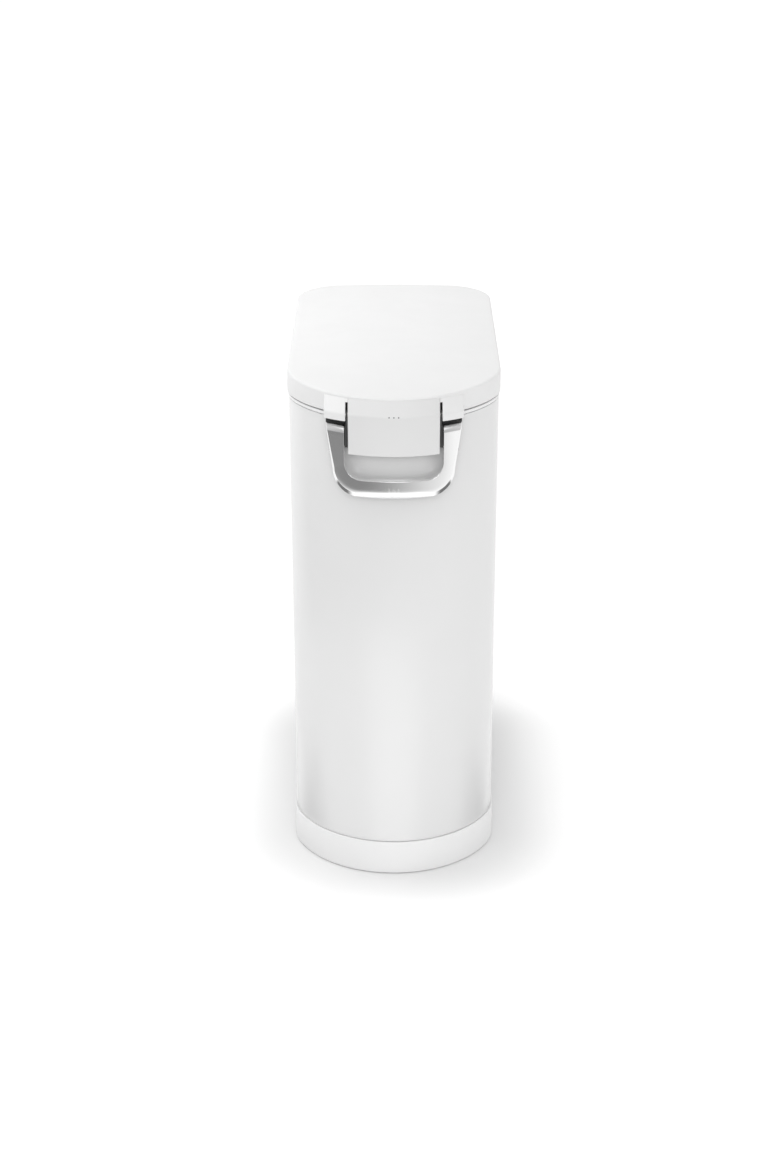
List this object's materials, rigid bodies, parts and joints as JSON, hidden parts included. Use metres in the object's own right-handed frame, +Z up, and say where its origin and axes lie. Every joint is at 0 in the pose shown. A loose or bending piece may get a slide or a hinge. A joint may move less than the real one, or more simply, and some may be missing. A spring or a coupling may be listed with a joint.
{
  "type": "latching lidded storage can",
  "caption": "Slim free-standing steel storage can with a bowed front, sealed rear-hinged lid, chrome bail latch, lift-out bucket and rear rollers.",
  "frame": {"origin": "on the floor under the rubber feet, at the centre of the whole can's footprint box", "axes": "+Z up, -Y out of the bowed front that carries the latch, +X to the right of someone facing the front"},
  "size_m": [0.26, 0.51, 0.648],
  "materials": {
    "body_paint": "gloss white powder coat, faintly soft in reflection",
    "base_plastic": "satin white moulding",
    "lid_plastic": "satin white moulding",
    "cover_plastic": "satin white moulding",
    "hinge_paint": "white painted steel",
    "chrome": "bright polished with a fine brushed face",
    "black_steel": "black phosphate",
    "bare_steel": "bright zinc",
    "bucket_plastic": "fine matt grey",
    "silicone": "dark grey silicone, matt",
    "foot_rubber": "black, matt",
    "roller_plastic": "grey moulding",
    "dark_plastic": "black moulding",
    "nylon": "natural nylon"
  },
  "bodies": {
    "can": {"plinth": "base_plastic", "rubber_feet": "foot_rubber", "floor_plate": "bare_steel", "floor_screws": "bare_steel", "roller_axle": "bare_steel", "axle_caps": "dark_plastic", "body_shell": "body_paint", "collar": "lid_plastic", "bucket": "bucket_plastic", "strike_plate": "bare_steel", "strike_backing": "bare_steel", "strike_screws": "bare_steel", "arm_bumpers": "cover_plastic", "hinge_body_leaf": "hinge_paint", "hinge_backing": "bare_steel", "hinge_body_screws": "bare_steel", "hinge_pin": "bare_steel", "hinge_pin_caps": "lid_plastic"},
    "lid": {"lid_shell": "lid_plastic", "lid_liner": "bucket_plastic", "liner_screws": "bare_steel", "lid_gasket": "silicone", "hinge_lid_leaf": "hinge_paint", "hinge_lid_screws": "bare_steel", "latch_cover": "cover_plastic", "latch_guards": "dark_plastic", "pin_bracket": "bare_steel", "cover_screws": "bare_steel", "pivot_bushes": "nylon"},
    "bail": {"bail_handle": "chrome", "bail_tangs": "black_steel", "tang_screws": "bare_steel", "pivot_pins": "bare_steel"},
    "roller_left": {"roller_left": "roller_plastic"},
    "roller_right": {"roller_right": "roller_plastic"}
  },
  "joints": [
    {"name": "lid_hinge", "type": "hinge", "parent": "can", "child": "lid", "pos_m": [0, 0.25, 0.621], "axis": [-1, 0, 0], "range_deg": [0, 100]},
    {"name": "bail_swing", "type": "hinge", "parent": "lid", "child": "bail", "pos_m": [0, -0.2338, 0.621], "axis": [-1, 0, 0], "range_deg": [0, 100]},
    {"name": "roller_left_spin", "type": "hinge", "parent": "can", "child": "roller_left", "pos_m": [-0.062, 0.224, 0.019], "axis": [1, 0, 0], "continuous": true},
    {"name": "roller_right_spin", "type": "hinge", "parent": "can", "child": "roller_right", "pos_m": [0.062, 0.224, 0.019], "axis": [1, 0, 0], "continuous": true}
  ]
}
